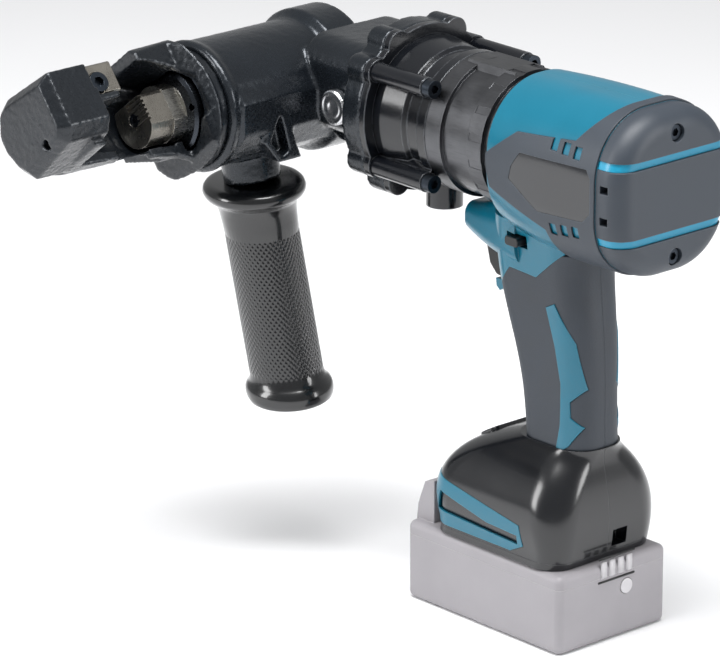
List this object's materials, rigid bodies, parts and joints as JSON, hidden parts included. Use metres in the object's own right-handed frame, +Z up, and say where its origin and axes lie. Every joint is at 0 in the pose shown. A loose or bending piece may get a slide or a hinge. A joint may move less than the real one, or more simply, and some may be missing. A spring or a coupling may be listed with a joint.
{
  "type": "cordless hydraulic rod cutter",
  "caption": "Pistol-grip battery tool with a hydraulic cylinder set crosswise that drives a shear jaw to cut steel rod flush, with a knurled side grip.",
  "frame": {"origin": "centre of the battery pack's flat underside", "axes": "+X forwards along the motor, +Y to the operator's left along the cylinder, +Z up"},
  "size_m": [0.2963, 0.2445, 0.2927],
  "materials": {
    "teal_plastic": "fine moulded grain",
    "dark_plastic": "fine moulded grain",
    "grip_rubber": "soft moulded rubber",
    "foot_plastic": "satin gloss",
    "panel_plastic": "gloss",
    "pack_plastic": "fine moulded grain",
    "pack_button": "satin",
    "black_plastic": "satin",
    "lens": "clear",
    "cell_wrap": "shrink wrap",
    "contact_metal": "plated",
    "steel": "ground",
    "screw_steel": "blackened",
    "case_metal": "cast and turned",
    "pump_metal": "glossy dark paint",
    "cast_black": "dark cast, satin",
    "gland_steel": "turned, dark",
    "cutter_steel": "ground tool steel",
    "knob_metal": "turned and knurled",
    "grip_black": "glossy, knurled"
  },
  "bodies": {
    "tool": {"case_bolts": "screw_steel", "controller": "black_plastic", "fixed_cutter": "cutter_steel", "fixed_cutter_screw": "screw_steel", "flange_screws": "screw_steel", "foot_left": "foot_plastic", "foot_right": "foot_plastic", "foot_rim": "foot_plastic", "gear_bearings": "steel", "gear_case": "case_metal", "gland_nut": "gland_steel", "grip_left": "grip_rubber", "grip_right": "grip_rubber", "grip_stud": "steel", "handle_insert_left": "teal_plastic", "handle_insert_right": "teal_plastic", "head_casting": "cast_black", "housing_left": "teal_plastic", "housing_right": "teal_plastic", "housing_screws": "screw_steel", "indicator_panel": "panel_plastic", "jaw_frame": "cast_black", "led_lens": "lens", "motor_bearings": "steel", "motor_mounts": "case_metal", "name_panel_left": "panel_plastic", "name_panel_right": "panel_plastic", "pump_case": "pump_metal", "pump_flange": "pump_metal", "pump_plunger": "steel", "rear_cover": "dark_plastic", "rear_cover_trim": "teal_plastic", "return_spring": "steel", "side_band_left": "teal_plastic", "side_band_right": "teal_plastic", "side_frame_left": "dark_plastic", "side_frame_right": "dark_plastic", "side_grip": "grip_black", "stator": "steel", "switch_unit": "black_plastic", "terminal_block": "black_plastic", "trigger_spring": "steel"},
    "battery": {"battery_lower_case": "pack_plastic", "battery_upper_case": "pack_plastic", "battery_cells": "cell_wrap", "battery_terminals": "contact_metal"},
    "battery_latch_body": {"battery_latch": "pack_button"},
    "check_button_body": {"battery_check_button": "pack_button"},
    "trigger_body": {"trigger": "black_plastic"},
    "lock_body": {"lock_button": "black_plastic"},
    "ram": {"piston": "steel", "moving_cutter": "cutter_steel", "cutter_screw": "screw_steel"},
    "knob": {"release_knob": "knob_metal"},
    "motor_shaft": {"rotor": "steel", "fan": "black_plastic"},
    "idler": {"idler_gear": "steel"},
    "drive_shaft": {"output_shaft": "steel"}
  },
  "joints": [
    {"name": "battery_slide", "type": "slide", "parent": "tool", "child": "battery", "axis": [1, 0, 0], "range_m": [0, 0.1]},
    {"name": "battery_latch_slide", "type": "slide", "parent": "battery", "child": "battery_latch_body", "axis": [0, 0, -1], "range_m": [0, 0.0045], "stiffness_N_per_m": 400, "springref_m": -0.005},
    {"name": "check_button_press", "type": "slide", "parent": "battery", "child": "check_button_body", "axis": [1, 0, 0], "range_m": [0, 0.0008], "stiffness_N_per_m": 500, "springref_m": -0.001},
    {"name": "trigger_pull", "type": "slide", "parent": "tool", "child": "trigger_body", "axis": [-1, 0, 0], "range_m": [0, 0.007], "stiffness_N_per_m": 600, "springref_m": -0.004, "deforming": ["trigger_spring"]},
    {"name": "lock_push", "type": "slide", "parent": "tool", "child": "lock_body", "axis": [0, -1, 0], "range_m": [0, 0.003]},
    {"name": "ram_stroke", "type": "slide", "parent": "tool", "child": "ram", "axis": [0, 1, 0], "range_m": [0, 0.019], "stiffness_N_per_m": 1500, "springref_m": -0.02, "deforming": ["return_spring"]},
    {"name": "release_turn", "type": "hinge", "parent": "tool", "child": "knob", "pos_m": [0.111, 0, 0.25], "axis": [0, 1, 0], "range_deg": [0, 180]},
    {"name": "rotor_spin", "type": "hinge", "parent": "tool", "child": "motor_shaft", "pos_m": [0, 0, 0.244], "axis": [1, 0, 0], "continuous": true},
    {"name": "idler_spin", "type": "hinge", "parent": "tool", "child": "idler", "pos_m": [0, 0, 0.2632], "axis": [1, 0, 0], "continuous": true},
    {"name": "drive_spin", "type": "hinge", "parent": "tool", "child": "drive_shaft", "pos_m": [0, 0, 0.2492], "axis": [1, 0, 0], "continuous": true}
  ],
  "couplings": [
    {"joint": "idler_spin", "follows": "rotor_spin", "ratio": -0.26316},
    {"joint": "drive_spin", "follows": "rotor_spin", "ratio": 0.12465}
  ]
}
